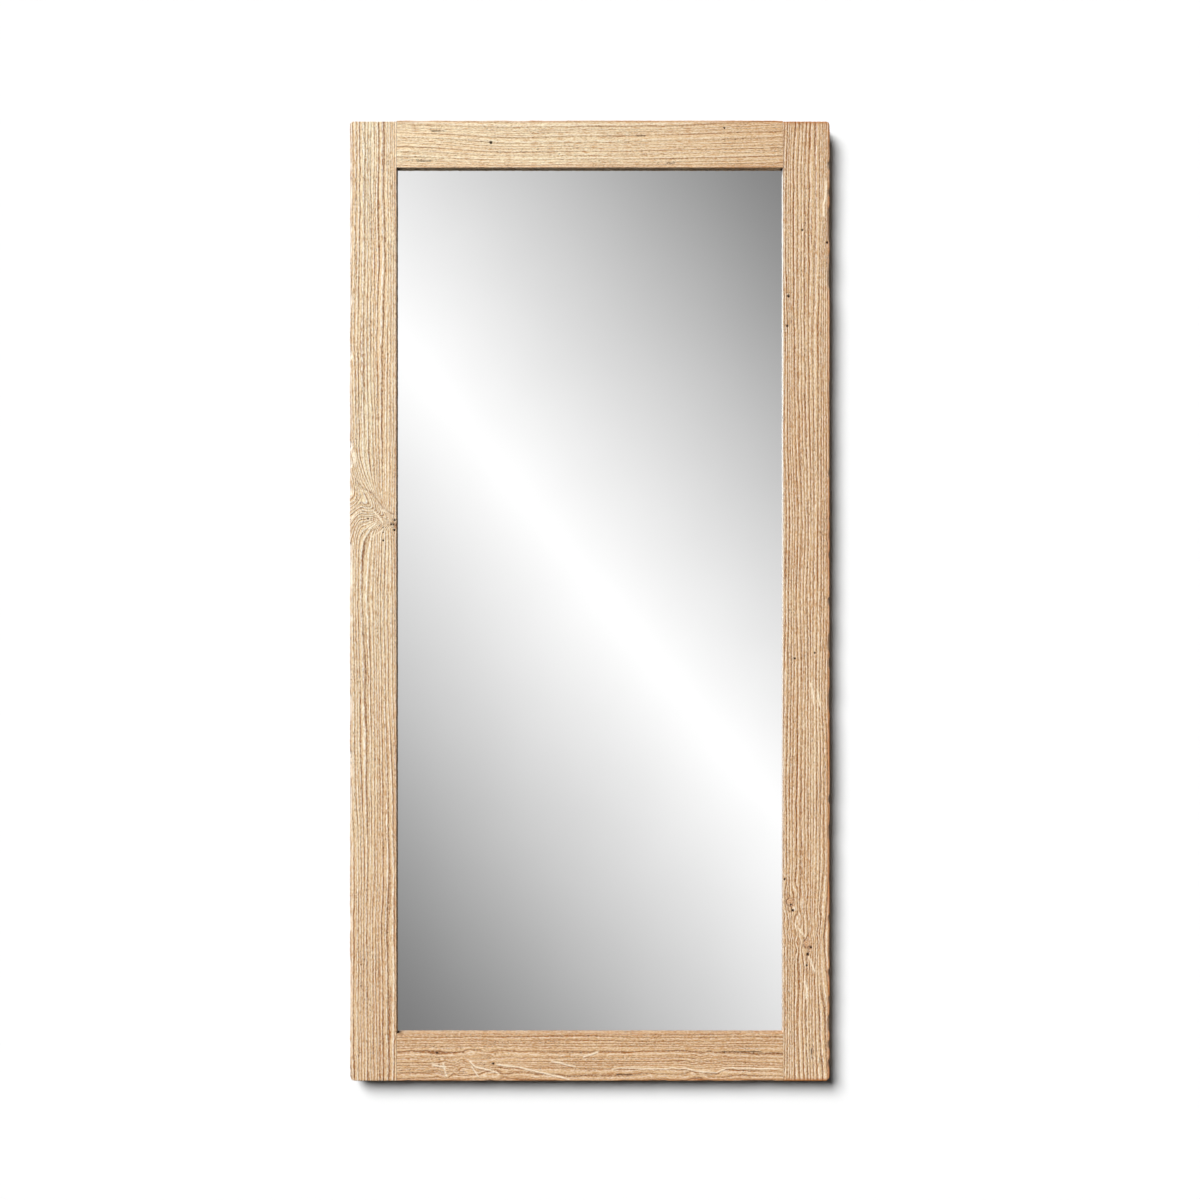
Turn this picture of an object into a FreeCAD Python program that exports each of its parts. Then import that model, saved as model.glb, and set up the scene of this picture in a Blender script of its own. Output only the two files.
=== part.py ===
import FreeCAD, Part
import math
import os

# Full-length wall mirror: four butt-jointed boards of brushed reclaimed softwood round a silvered pane.
# Millimetres. +Z is up, +X is to the right of someone who looks into the mirror, and the front faces -Y.
# The origin lies on the wall, behind the middle of the mirror. Left and right are as seen from the front.

# Frame boards
frame_width = 900.0
frame_height = 1800.0
frame_depth = 38.0
stile_face = 88.0
rail_face = 89.0
top_rail_proud = 2.0
arris_radius = 1.5

# Stepped rebate behind the lip: the pane lies in the first step, the backing board on the second
lip_thickness = 14.0
glass_cover = 9.0
glass_edge_gap = 2.0
ledge_width = 14.0
board_edge_gap = 1.0

# Pane, bonding tape and backing board
glass_thickness = 5.0
glass_arris = 0.8
tape_thickness = 1.6
tape_width = 25.0
tape_end_margin = 60.0
tape_count = 4
board_thickness = 6.0

# Soft packing round the edge of the pane
setting_block_length = 60.0
setting_block_place_share = 0.25
edge_spacer_length = 30.0
edge_spacer_place_share = 0.30

# Fluted dowels across each corner joint
dowel_diameter = 10.0
dowel_reach = 38.0
dowel_chamfer = 1.2
dowel_glue_gap = 0.1
dowel_end_gap = 1.0
dowel_place_shares = (0.27, 0.73)
flute_diameter = 1.2
flute_count = 10

# Pan-head screws, with the same head and shank for the backing board and the hangers
screw_head_diameter = 8.0
screw_head_height = 2.6
screw_head_side = 0.9
screw_shank_diameter = 4.0
screw_tip = 4.0
screw_hole_gap = 0.1
recess_span = 4.6
recess_width = 1.0
recess_depth = 1.4
board_screw_bite = 10.0
board_screws_per_stile = 7
board_screws_per_rail = 4
board_screw_spread_share = 0.88
hanger_screw_bite = 20.0
pilot_end_gap = 0.5

# Strap hangers with a swinging ring, one on the back of each stile
hanger_drop = 300.0
strap_width = 18.0
strap_thickness = 1.5
strap_length = 56.0
strap_end_radius = 8.0
strap_hole_gap = 0.25
strap_hole_drops = (30.0, 46.0)
knuckle_wrap = 290.0
ring_wire = 4.0
ring_play = 0.3
ring_side_gap = 0.5
ring_bend = 3.5
ring_leg = 5.0

# Rubber bumpers that hold the frame off the wall
bumper_thickness = 9.0
bumper_diameter = 22.0
bumper_face_diameter = 18.0
bumper_round = 1.0
bumper_end_inset = 55.0

# One length that every cutting tool runs past the face it enters
overrun = 1.0

# How far two unit vectors may differ and still count as one direction
same_direction = 1e-6

# Planes across the depth, from the front to the wall
frame_back = -bumper_thickness
frame_front = frame_back - frame_depth
lip_back = frame_front + lip_thickness
glass_back = lip_back + glass_thickness
ledge_plane = glass_back + tape_thickness
board_back = ledge_plane + board_thickness

# Half sizes of the opening, the pane, and the two steps of the rebate
sight_x = frame_width / 2 - stile_face
sight_z = frame_height / 2 - rail_face
glass_x = sight_x + glass_cover
glass_z = sight_z + glass_cover
step_x = glass_x + glass_edge_gap
step_z = glass_z + glass_edge_gap
pocket_x = step_x + ledge_width
pocket_z = step_z + ledge_width
board_x = pocket_x - board_edge_gap
board_z = pocket_z - board_edge_gap

# Lines that the hardware on the back is set out from
back_flat_middle = (frame_width / 2 + pocket_x) / 2
ring_axis_z = frame_height / 2 - hanger_drop
knuckle_inner = ring_wire / 2 + ring_play
knuckle_outer = knuckle_inner + strap_thickness
ring_axis_y = frame_back + knuckle_outer

V = FreeCAD.Vector
ALONG_X, ALONG_Y, ALONG_Z = V(1, 0, 0), V(0, 1, 0), V(0, 0, 1)
SIDES = {"left": -1, "right": 1}
ENDS = {"top": 1, "bottom": -1}


# Plain helpers

def block(x_span, y_span, z_span):
    """A box between two values on each axis, given in any order."""
    spans = [sorted(span) for span in (x_span, y_span, z_span)]
    lengths = [high - low for low, high in spans]
    return Part.makeBox(*lengths, V(*[low for low, high in spans]))


def eased(board, faces_towards):
    """The board with every edge rounded that two of the given outward directions share."""
    sharp = []
    for edge in board.Edges:
        normals = [face.normalAt(0, 0) for face in board.ancestorsOfType(edge, Part.Face)]
        if all(any(n.isEqual(d, same_direction) for d in faces_towards) for n in normals):
            sharp.append(edge)
    return board.makeFillet(arris_radius, sharp)


def turned(points_and_arcs):
    """A solid of revolution about Z from a closed chain of edges in the XZ plane."""
    face = Part.Face(Part.Wire(points_and_arcs))
    return face.revolve(V(0, 0, 0), ALONG_Z, 360)


def chain(points):
    """Straight edges from each point to the next."""
    return [Part.makeLine(a, b) for a, b in zip(points, points[1:])]


def placed(shape, at, axis=ALONG_Z):
    """A copy of a shape made along Z at the origin, turned to an axis and moved to a point."""
    copy = shape.copy()
    copy.Placement = FreeCAD.Placement(at, FreeCAD.Rotation(ALONG_Z, axis))
    return copy


def spread(count, half_span):
    """Evenly spaced places from -half_span to half_span."""
    return [half_span * (2 * i / (count - 1) - 1) for i in range(count)]


# Fasteners

def dowel():
    """A fluted dowel, centred on the origin along Z."""
    radius = dowel_diameter / 2
    tip = radius - dowel_chamfer
    shoulder = dowel_reach - dowel_chamfer
    outline = [V(0, 0, -dowel_reach), V(tip, 0, -dowel_reach), V(radius, 0, -shoulder)]
    outline += [V(p.x, 0, -p.z) for p in reversed(outline)]
    body = turned(chain(outline + outline[:1]))
    flutes = []
    for i in range(flute_count):
        turn = math.tau * i / flute_count
        foot = V(radius * math.cos(turn), radius * math.sin(turn), -dowel_reach - overrun)
        flutes.append(Part.makeCylinder(flute_diameter / 2, 2 * (dowel_reach + overrun), foot))
    return body.cut(flutes)


def screw(length):
    """A pan-head screw with a cross recess: its head stands on the XY plane and its shank runs down -Z."""
    head = screw_head_diameter / 2
    shank = screw_shank_diameter / 2
    rise = screw_head_height - screw_head_side
    dome = (head ** 2 + rise ** 2) / (2 * rise)
    half_turn = math.asin(head / dome) / 2
    top, rim = V(0, 0, screw_head_height), V(head, 0, screw_head_side)
    middle = V(dome * math.sin(half_turn), 0, screw_head_height - dome * (1 - math.cos(half_turn)))
    below = [rim, V(head, 0, 0), V(shank, 0, 0), V(shank, 0, screw_tip - length), V(0, 0, -length), top]
    body = turned([Part.Arc(top, middle, rim).toShape()] + chain(below))
    span, width = recess_span / 2, recess_width / 2
    length, thickness = (-span, span), (-width, width)
    depth = (screw_head_height - recess_depth, screw_head_height + overrun)
    return body.cut([block(length, thickness, depth), block(thickness, length, depth)])


def screw_hole(at, length):
    """The pilot hole of a screw that goes in along -Y with its head seated at a point."""
    radius = screw_shank_diameter / 2 + screw_hole_gap
    return Part.makeCylinder(radius, length + pilot_end_gap + overrun, at + V(0, overrun, 0), -ALONG_Y)


# Places of the fasteners

def dowel_places(side, end):
    """Middles of the dowels in one corner, on the line where the rail meets the stile."""
    outer, inner = frame_height / 2, pocket_z
    depth = (frame_front + frame_back) / 2
    heights = [outer + (inner - outer) * share for share in dowel_place_shares]
    return [V(side * sight_x, depth, end * height) for height in heights]


def board_screw_places():
    """Seats of the backing board's screws, on the middle of the ledge all round."""
    column, row = (step_x + pocket_x) / 2, (step_z + pocket_z) / 2
    places = []
    for sign in (-1, 1):
        for z in spread(board_screws_per_stile, sight_z * board_screw_spread_share):
            places.append(V(sign * column, board_back, z))
        for x in spread(board_screws_per_rail, sight_x * board_screw_spread_share):
            places.append(V(x, board_back, sign * row))
    return places


def hanger_screw_places(side):
    """Seats of one hanger's screws, on the outer face of its strap."""
    seat = frame_back + strap_thickness
    return [V(side * back_flat_middle, seat, ring_axis_z - drop) for drop in strap_hole_drops]


board_screw_length = board_thickness + board_screw_bite
hanger_screw_length = strap_thickness + hanger_screw_bite


# Frame

def rebate():
    """The two stacked pockets that are cut from the back: one for the pane, one for the backing board."""
    past_back = frame_back + overrun
    pane_step = block((-step_x, step_x), (lip_back, past_back), (-step_z, step_z))
    board_step = block((-pocket_x, pocket_x), (ledge_plane, past_back), (-pocket_z, pocket_z))
    return [pane_step, board_step]


def dowel_sockets(side, end):
    """The drilled holes that one corner's dowels are glued into, half in the stile and half in the rail."""
    radius = dowel_diameter / 2 + dowel_glue_gap
    half = dowel_reach + dowel_end_gap
    starts = [at - V(half, 0, 0) for at in dowel_places(side, end)]
    return [Part.makeCylinder(radius, 2 * half, start, ALONG_X) for start in starts]


def board_screw_holes():
    return [screw_hole(at, board_screw_length) for at in board_screw_places()]


def stile(side):
    """An upright board over the full height, with the rebate stopped short of its ends."""
    x_span = (side * sight_x, side * frame_width / 2)
    z_span = (-frame_height / 2, frame_height / 2 - top_rail_proud)
    board = block(x_span, (frame_front, frame_back), z_span)
    outward = ALONG_X * side
    board = eased(board, [-ALONG_Y, outward, -outward, ALONG_Z, -ALONG_Z])
    sockets = [hole for end in ENDS.values() for hole in dowel_sockets(side, end)]
    pilots = [screw_hole(at, hanger_screw_length) for at in hanger_screw_places(side)]
    return board.cut(rebate() + sockets + board_screw_holes() + pilots)


def rail(end):
    """A level board between the stiles, with the rebate right through from shoulder to shoulder."""
    board = block((-sight_x, sight_x), (frame_front, frame_back), (end * sight_z, end * frame_height / 2))
    board = eased(board, [-ALONG_Y, ALONG_Y, ALONG_Z, -ALONG_Z])
    sockets = [hole for side in SIDES.values() for hole in dowel_sockets(side, end)]
    return board.cut(rebate() + sockets + board_screw_holes())


# What lies in the rebate

def mirror_glass():
    """The silvered pane, with a fine ground arris on its edges."""
    pane = block((-glass_x, glass_x), (lip_back, glass_back), (-glass_z, glass_z))
    return pane.makeChamfer(glass_arris, pane.Edges)


def setting_blocks():
    """The two blocks that carry the pane's lower edge."""
    half = setting_block_length / 2
    middles = [side * 2 * glass_x * setting_block_place_share for side in SIDES.values()]
    return [block((x - half, x + half), (lip_back, glass_back), (-step_z, -glass_z)) for x in middles]


def edge_spacers():
    """Packing that keeps the pane in the middle: two at each side and two at the top."""
    half = edge_spacer_length / 2
    depth = (lip_back, glass_back)
    pieces = []
    for sign in (-1, 1):
        x = sign * 2 * glass_x * edge_spacer_place_share
        pieces.append(block((x - half, x + half), depth, (glass_z, step_z)))
        z = sign * 2 * glass_z * edge_spacer_place_share
        for side in SIDES.values():
            pieces.append(block((side * glass_x, side * step_x), depth, (z - half, z + half)))
    return pieces


def bonding_tape():
    """Upright strips of foam tape between the pane's silvered back and the board."""
    half = tape_width / 2
    top = glass_z - tape_end_margin
    middles = spread(tape_count, sight_x - tape_end_margin)
    return [block((x - half, x + half), (glass_back, ledge_plane), (-top, top)) for x in middles]


def backing_board():
    """The board that closes the back, screwed to the ledge through holes along its edge."""
    board = block((-board_x, board_x), (ledge_plane, board_back), (-board_z, board_z))
    return board.cut(board_screw_holes())


# Hangers

def hanger_strap(side):
    """A strap that lies on the stile and rolls over at its upper end into the ring's knuckle."""
    x = side * back_flat_middle - strap_width / 2
    axis = V(x, ring_axis_y, ring_axis_z)

    def on_roll(radius, turn):
        return axis + V(0, -radius * math.cos(turn), radius * math.sin(turn))

    wrap = math.radians(knuckle_wrap)
    rolls = []
    for radius in (knuckle_outer, knuckle_inner):
        start, half_way, tail = (on_roll(radius, wrap * share) for share in (0, 1 / 2, 1))
        rolls.append((start, Part.Arc(start, half_way, tail).toShape(), tail))
    (outer_start, outer_roll, outer_tail), (inner_start, inner_roll, inner_tail) = rolls
    down = V(0, 0, strap_length)
    plate = [inner_start, inner_start - down, outer_start - down, outer_start]
    edges = [outer_roll, Part.makeLine(outer_tail, inner_tail), inner_roll] + chain(plate)
    strap = Part.Face(Part.Wire(Part.__sortEdges__(edges))).extrude(V(strap_width, 0, 0))
    low = ring_axis_z - strap_length
    corners = [e for e in strap.Edges if all(math.isclose(v.Z, low) for v in e.Vertexes)]
    across = [e for e in corners if math.isclose(e.Length, strap_thickness)]
    strap = strap.makeFillet(strap_end_radius, across)
    radius = screw_shank_diameter / 2 + strap_hole_gap
    deep = strap_thickness + 2 * overrun
    starts = [at + V(0, overrun, 0) for at in hanger_screw_places(side)]
    holes = [Part.makeCylinder(radius, deep, start, -ALONG_Y) for start in starts]
    return strap.cut(holes)


def hanger_ring(side):
    """A round-wire ring shaped like a D, hanging from its straight bar in the knuckle."""
    bend_start = strap_width / 2 + ring_side_gap
    leg_x = bend_start + ring_bend
    lean = ring_bend * (1 - math.sqrt(1 / 2))
    leg_top, leg_foot = -ring_bend, -ring_bend - ring_leg
    bar = Part.makeLine(V(-bend_start, 0, 0), V(bend_start, 0, 0))
    right_bend = Part.Arc(V(bend_start, 0, 0), V(leg_x - lean, 0, -lean), V(leg_x, 0, leg_top)).toShape()
    right_leg = Part.makeLine(V(leg_x, 0, leg_top), V(leg_x, 0, leg_foot))
    bow = Part.Arc(V(leg_x, 0, leg_foot), V(0, 0, leg_foot - leg_x), V(-leg_x, 0, leg_foot)).toShape()
    left_leg = Part.makeLine(V(-leg_x, 0, leg_foot), V(-leg_x, 0, leg_top))
    left_bend = Part.Arc(V(-leg_x, 0, leg_top), V(lean - leg_x, 0, -lean), V(-bend_start, 0, 0)).toShape()
    path = Part.Wire([bar, right_bend, right_leg, bow, left_leg, left_bend])
    wire = Part.Wire(Part.makeCircle(ring_wire / 2, V(-bend_start, 0, 0), ALONG_X))
    ring = path.makePipeShell([wire], True, False)
    return placed(ring, V(side * back_flat_middle, ring_axis_y, ring_axis_z))


# Bumpers

def bumper(side, end):
    """A tapered rubber pad on the back of one corner, whose flat face touches the wall."""
    foot, face = bumper_diameter / 2, bumper_face_diameter / 2
    outline = [V(0, 0, 0), V(foot, 0, 0), V(face, 0, bumper_thickness), V(0, 0, bumper_thickness)]
    pad = turned(chain(outline + outline[:1]))
    circles = [e for e in pad.Edges if len(e.Vertexes) == 1]
    rim = [e for e in circles if math.isclose(e.Vertexes[0].Z, bumper_thickness)]
    pad = pad.makeFillet(bumper_round, rim)
    height = end * (frame_height / 2 - bumper_end_inset)
    return placed(pad, V(side * back_flat_middle, frame_back, height), ALONG_Y)


# Assembly: each node's name and its solids

def nodes():
    made = {
        "mirror_glass": [mirror_glass()],
        "setting_blocks": setting_blocks(),
        "edge_spacers": edge_spacers(),
        "bonding_tape": bonding_tape(),
        "backing_board": [backing_board()],
    }
    board_screw = screw(board_screw_length)
    made["backing_screws"] = [placed(board_screw, at, ALONG_Y) for at in board_screw_places()]
    for end_name, end in ENDS.items():
        made[f"{end_name}_rail"] = [rail(end)]
    peg = dowel()
    hanger_screw = screw(hanger_screw_length)
    for side_name, side in SIDES.items():
        made[f"{side_name}_stile"] = [stile(side)]
        made[f"{side_name}_hanger_strap"] = [hanger_strap(side)]
        made[f"{side_name}_hanger_ring"] = [hanger_ring(side)]
        seats = hanger_screw_places(side)
        made[f"{side_name}_hanger_screws"] = [placed(hanger_screw, at, ALONG_Y) for at in seats]
        for end_name, end in ENDS.items():
            middles = dowel_places(side, end)
            made[f"{end_name}_{side_name}_dowels"] = [placed(peg, at, ALONG_X) for at in middles]
            made[f"{end_name}_{side_name}_bumper"] = [bumper(side, end)]
    return made


def main():
    os.makedirs("parts", exist_ok=True)
    for name, solids in sorted(nodes().items()):
        shape = solids[0] if len(solids) == 1 else Part.makeCompound(solids)
        shape.exportStep(f"parts/{name}.step")
        print(f"{name}: {len(shape.Solids)} solids, {shape.Volume / 1000:.2f} cm3, valid {shape.isValid()}")


main()
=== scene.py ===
import math

import bpy
import numpy as np
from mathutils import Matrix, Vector
from mathutils.geometry import delaunay_2d_cdt


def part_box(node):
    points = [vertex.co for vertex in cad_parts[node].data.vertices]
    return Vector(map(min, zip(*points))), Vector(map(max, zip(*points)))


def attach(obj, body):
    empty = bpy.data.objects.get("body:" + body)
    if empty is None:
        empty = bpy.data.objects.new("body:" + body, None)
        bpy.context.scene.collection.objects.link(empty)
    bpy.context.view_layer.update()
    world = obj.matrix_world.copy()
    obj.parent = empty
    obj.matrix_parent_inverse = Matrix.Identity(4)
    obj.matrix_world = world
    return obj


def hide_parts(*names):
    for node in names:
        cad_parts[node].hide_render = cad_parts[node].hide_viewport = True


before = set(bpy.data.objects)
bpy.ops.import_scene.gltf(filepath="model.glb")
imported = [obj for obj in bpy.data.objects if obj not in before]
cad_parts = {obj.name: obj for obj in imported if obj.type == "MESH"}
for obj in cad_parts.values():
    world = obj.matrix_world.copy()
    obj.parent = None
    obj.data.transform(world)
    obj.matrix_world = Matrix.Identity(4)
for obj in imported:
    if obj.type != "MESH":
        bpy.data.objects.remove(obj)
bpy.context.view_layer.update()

# Looks of the full-length mirror: brushed boards with their grain in relief, pane, back and hangers.
# Metres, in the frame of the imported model: the front faces -Y and the wall is the plane y = 0.

ROOT = "mirror"

# Mesh of the boards: spacing of its points, rounding of its edges, and room round the backing board
across_step = 0.0008
side_step = 0.0030
back_step = 0.0120
stile_along_step = 0.0034
rail_along_step = 0.0014
mark_step = 0.0011
mark_margin = 0.0030
cap_step = 0.0030
arris = 0.0015
sight_arris = 0.0008
arris_points = 4
pocket_gap = 0.0010
same_place = 1e-7

# Depths of the relief below the flat face, reach of the broken edges, and widths of the painted edge shade
# and corner shadows
groove_depth = 0.0009
line_depth = 0.0005
fibre_depth = 0.0004
wave_depth = 0.0005
pit_depth = 0.0024
chip_depth = 0.0022
chip_reach = 0.0034
corner_depth = 0.0016
corner_reach = 0.0045
edge_reach = 0.0036
corner_shadow_reach = 0.0060
saw_depth = 0.0003

# Growth rings: their pitch on the face, how they lean into the board, and how far they stray sideways
ring_pitch = 0.0068
ring_tilt_share = 1.1
lines_per_ring = 1.55
burr_slope = 0.8
burr_above_share = 0.45
burr_spread_share = 0.65
bow_reach = 0.012
bend_reach = 0.008
scar_stray = 0.003

# Strays of the rings, counted in rings, their push round knots, and jumps of the noise from line to line
drift_rings = 1.6
crowd_rings = 0.9
crowd_share = 0.55
waver_rings = 0.20
quiver_rings = 0.12
wild_rings = 1.6
push_rings = 0.70
push_shares = (4.5, 2.0)
knot_rings = 1.7
knot_length_share = 1.3
ring_jump = 7.3
line_jump = 5.1

# Cells of the noise that varies the boards: along the grain, and across it
bow_cell = (0.55, 0.40)
bend_cell = (0.16, 0.05)
drift_cell = (0.70, 0.022)
waver_cell = (0.035, 0.010)
quiver_cell = (0.009, 0.004)
wild_cell = (0.016, 0.007)
dash_cell = (0.10, 0.030)
bead_cell = (0.0085, 0.004)
fine_cell = (0.07, 0.005)
fibre_cell = (0.010, 0.0019)
wave_cell = (0.11, 0.020)
tone_cell = (0.30, 0.030)
edge_cell = (0.09, 0.200)
knot_cell = (0.006, 0.006)
scar_cell = (0.014, 0.400)
chip_cell = (0.017, 0.400)
nibble_cell = (0.005, 0.400)
saw_cell = (0.0011, 0.012)

# Shares: relief kept on the sawn back and at the edges, depth where it fades, and breaks of inner edges
back_relief_share = 0.25
back_fade_shares = (0.60, 0.95)
inner_relief_share = 0.20
outer_relief_share = 0.45
inner_chip_share = 0.25

# Camera: the width of its sensor is in millimetres, as lenses are
camera_distance = 3.5
camera_right = 0.0191
camera_up = 0.0012
view_width = 2.2483
sensor_width = 36.0

# Stage: how far it reaches, the drop from the mirror to the floor, and the gap behind the bumpers
stage_reach = 12.0
floor_drop = 0.30
wall_gap = 0.0008

# Light card: its place, its bright lines as they show on the pane, and the even light beside and below
card_distance = 1.45
card_reach = 3.2
card_strength = 1.10
band_x = -0.3556
band_z = 0.4800
band_run = 0.377
band_rise = 0.4675
band_fade = 0.92
band_apart = 1.05
band_dim = 0.78
band_ease = 0.35
calm_strength = 0.78
calm_across = (0.60, 1.60)
calm_down = (1.20, 2.00)

# Lights and paints: where lamps shine to, their strength and width as an angle, and shades of the stage
key_towards = (0.50, 1.0, -0.60)
key_strength = 4.08
key_size = math.radians(30)
wall_towards = (0.52, 1.0, -0.68)
wall_strength = 5.9
wall_shade = 0.40
floor_shade = 0.9
floor_glow = 0.45
back_towards = (-0.27, -1.0, -0.35)
back_strength = 1.8
back_size = math.radians(40)
world_strength = 0.07


def srgb(red, green, blue):
    """Linear colour of an 8-bit screen colour."""
    parts = np.array([red, green, blue]) / 255
    linear = np.where(parts <= 0.04045, parts / 12.92, ((parts + 0.055) / 1.055) ** 2.4)
    return (*[float(part) for part in linear], 1.0)


# Noise over arrays of points

def lattice(cells, seed):
    """A pseudo-random share for each whole-numbered cell."""
    primes = (73856093, 19349663, 83492791)
    mixed = np.full(cells[0].shape, seed * 2654435761 % 2 ** 32, dtype=np.uint64)
    for cell, prime in zip(cells, primes):
        mixed = mixed ^ ((cell.astype(np.int64) * prime).astype(np.uint64) & np.uint64(0xFFFFFFFF))
        mixed = (mixed * np.uint64(1274126177)) & np.uint64(0xFFFFFFFF)
        mixed = mixed ^ (mixed >> np.uint64(15))
    return (mixed & np.uint64(0xFFFF)).astype(float) / 0xFFFF


def smooth(seed, *places):
    """Smooth noise from 0 to 1 at points given by one, two or three coordinates."""
    places = np.broadcast_arrays(*[np.asarray(place, float) for place in places])
    cells = [np.floor(place) for place in places]
    parts = [place - cell for place, cell in zip(places, cells)]
    parts = [part * part * (3 - 2 * part) for part in parts]
    total = 0
    for corner in range(2 ** len(places)):
        bits = [(corner >> i) & 1 for i in range(len(places))]
        weight = 1
        for bit, part in zip(bits, parts):
            weight = weight * (part if bit else 1 - part)
        total = total + weight * lattice([cell + bit for cell, bit in zip(cells, bits)], seed)
    return total


def step(low, high, value):
    """Smooth step from 0 at low to 1 at high."""
    part = np.clip((value - low) / (high - low), 0, 1)
    return part * part * (3 - 2 * part)


def bell(value, width):
    return np.exp(-(value / width) ** 2)


def crest(coordinate, share):
    """1 half-way between whole numbers, falling to 0 over this share of the pitch on each side."""
    return step(0.5 - share, 0.5, 0.5 - np.abs(coordinate % 1 - 0.5))


# Boards: each point has a place along the board, across its face from the outside, and into its depth

class Board:
    """One board of the frame: its box, how along, across and deep turn into x, y and z, and its marks.

    Marks are in shares: along from the middle in shares of the length, all else in shares of the face.
    """

    def __init__(self, node, seed, shade_shares, contrast_share, chip_share, edge_shade_shares, wave_share=1.0,
                 ridge_highlight_share=1.0, fresh_share=0.0, corner_shadow_shares=(0.0, 0.0), knot_shares=(), pit_shares=(),
                 scar_shares=(), dash_shares=(), hair_shares=(), burr_shares=(), wild_shares=()):
        self.node, self.seed = node, seed
        self.shade_shares, self.contrast_share = shade_shares, contrast_share
        self.chip_share, self.edge_shade_shares = chip_share, edge_shade_shares
        self.wave_share, self.ridge_highlight_share = wave_share, ridge_highlight_share
        self.fresh_share, self.corner_shadow_shares = fresh_share, corner_shadow_shares
        low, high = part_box(node)
        self.upright = high.z - low.z > high.x - low.x
        self.length_axis, self.face_axis = (2, 0) if self.upright else (0, 2)
        middle = (low[self.face_axis] + high[self.face_axis]) / 2
        self.inward = -1 if middle > 0 else 1
        self.outer = high[self.face_axis] if middle > 0 else low[self.face_axis]
        self.start, self.end = low[self.length_axis], high[self.length_axis]
        self.face = high[self.face_axis] - low[self.face_axis]
        self.front, self.depth = low.y, high.y - low.y
        self.flipped = self.upright == (self.inward < 0)
        self.knots = self.sized(knot_shares, 1)
        self.pits = self.sized(pit_shares, 1)
        self.scars = self.sized(scar_shares, 2)
        self.dashes = self.sized(dash_shares, 2)
        self.hairs = self.sized(hair_shares, 2)
        self.burrs = self.sized(burr_shares, 1)
        self.wilds = self.sized(wild_shares, 1)
        self.spans = [(mark[0] - mark[2], mark[0] + mark[2]) for mark in self.knots + self.pits]
        self.spans += [sorted((mark[0], mark[2])) for mark in self.hairs]

    def sized(self, shares, places):
        """Marks in metres: so many places along and across the board, then a width."""
        length = self.end - self.start
        scale = np.array([length, self.face] * places + [self.face])
        return [np.array(row) * scale for row in shares]

    def ramp(self, along, shares):
        """Values that run evenly from a share at the start of the board to one at its end."""
        return np.interp(along, (self.start, self.end), shares)

    def from_end(self, along):
        return np.minimum(along - self.start, self.end - along)

    def place(self, along, across, deep):
        """Points in the frame, as an array of rows."""
        points = np.zeros((len(along), 3))
        points[:, self.length_axis] = along
        points[:, self.face_axis] = self.outer + self.inward * across
        points[:, 1] = self.front + deep
        return points


def rebate_sizes(board):
    """Depths and widths of the stepped rebate, read from the pane and the backing board that lie in it."""
    block_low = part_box("setting_blocks")[0]
    spacer_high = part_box("edge_spacers")[1]
    back_low, back_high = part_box("backing_board")
    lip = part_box("mirror_glass")[0].y - board.front
    ledge = back_low.y - board.front
    step_at = spacer_high.x if board.upright else -block_low.z
    edge = abs(board.outer)
    return lip, ledge, edge - step_at, edge - back_high[board.face_axis] - pocket_gap


def run(start, stop, spacing):
    """Evenly spaced values from start to stop, both ends included."""
    count = max(1, round(abs(stop - start) / spacing))
    return np.linspace(start, stop, count + 1)


def section(board, rebate, state):
    """The board's outline across and into it, with outward directions and the indices of its sharp corners.

    state is 0 where the board is whole, 1 with the back's pocket cut, and 2 with the pane's step cut too.
    """
    lip, ledge, step_from, pocket_from = rebate
    face, depth = board.face, board.depth
    points = []

    def stretch(across, deep, direction):
        for point in zip(*np.broadcast_arrays(across, deep)):
            points.append((*point, *direction))

    def corner(across, deep, turn, radius):
        for i in range(1, arris_points):
            angle = turn + math.pi / 2 * i / arris_points
            out_across, out_deep = math.cos(angle), math.sin(angle)
            points.append((across + radius * out_across, deep + radius * out_deep, out_across, out_deep))

    stretch(run(arris, face - sight_arris, across_step), 0, (0, -1))
    corner(face - sight_arris, sight_arris, -math.pi / 2, sight_arris)
    stretch(face, run(sight_arris, lip, side_step), (1, 0))
    middle = (lip + ledge) / 2
    stages = {
        0: [(face, middle), (face, ledge), (face, depth), (pocket_from, depth)],
        1: [(face, middle), (face, ledge), (pocket_from, ledge), (pocket_from, depth)],
        2: [(step_from, lip), (step_from, ledge), (pocket_from, ledge), (pocket_from, depth)],
    }
    sharp = range(len(points) - 1, len(points) + len(stages[state]))
    points += [(*point, 0, 0) for point in stages[state]]
    stretch(run(pocket_from, arris, back_step)[1:], depth, (0, 1))
    corner(arris, depth - arris, math.pi / 2, arris)
    stretch(0, run(depth - arris, arris, side_step), (-1, 0))
    corner(arris, arris, math.pi, arris)
    points = np.array(points, float)
    return points[:, :2], points[:, 2:], list(sharp)


def places_along(board):
    """Where the sections lie: evenly spaced, and closer together at the marks of upright boards."""
    spacing = stile_along_step if board.upright else rail_along_step
    places = [run(board.start, board.end, spacing)]
    for low, high in board.spans if board.upright else ():
        places.append(run(low - mark_margin, high + mark_margin, mark_step))
    places = np.unique(np.concatenate(places))
    return places[np.append(True, np.diff(places) > mark_step / 3)]


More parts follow.
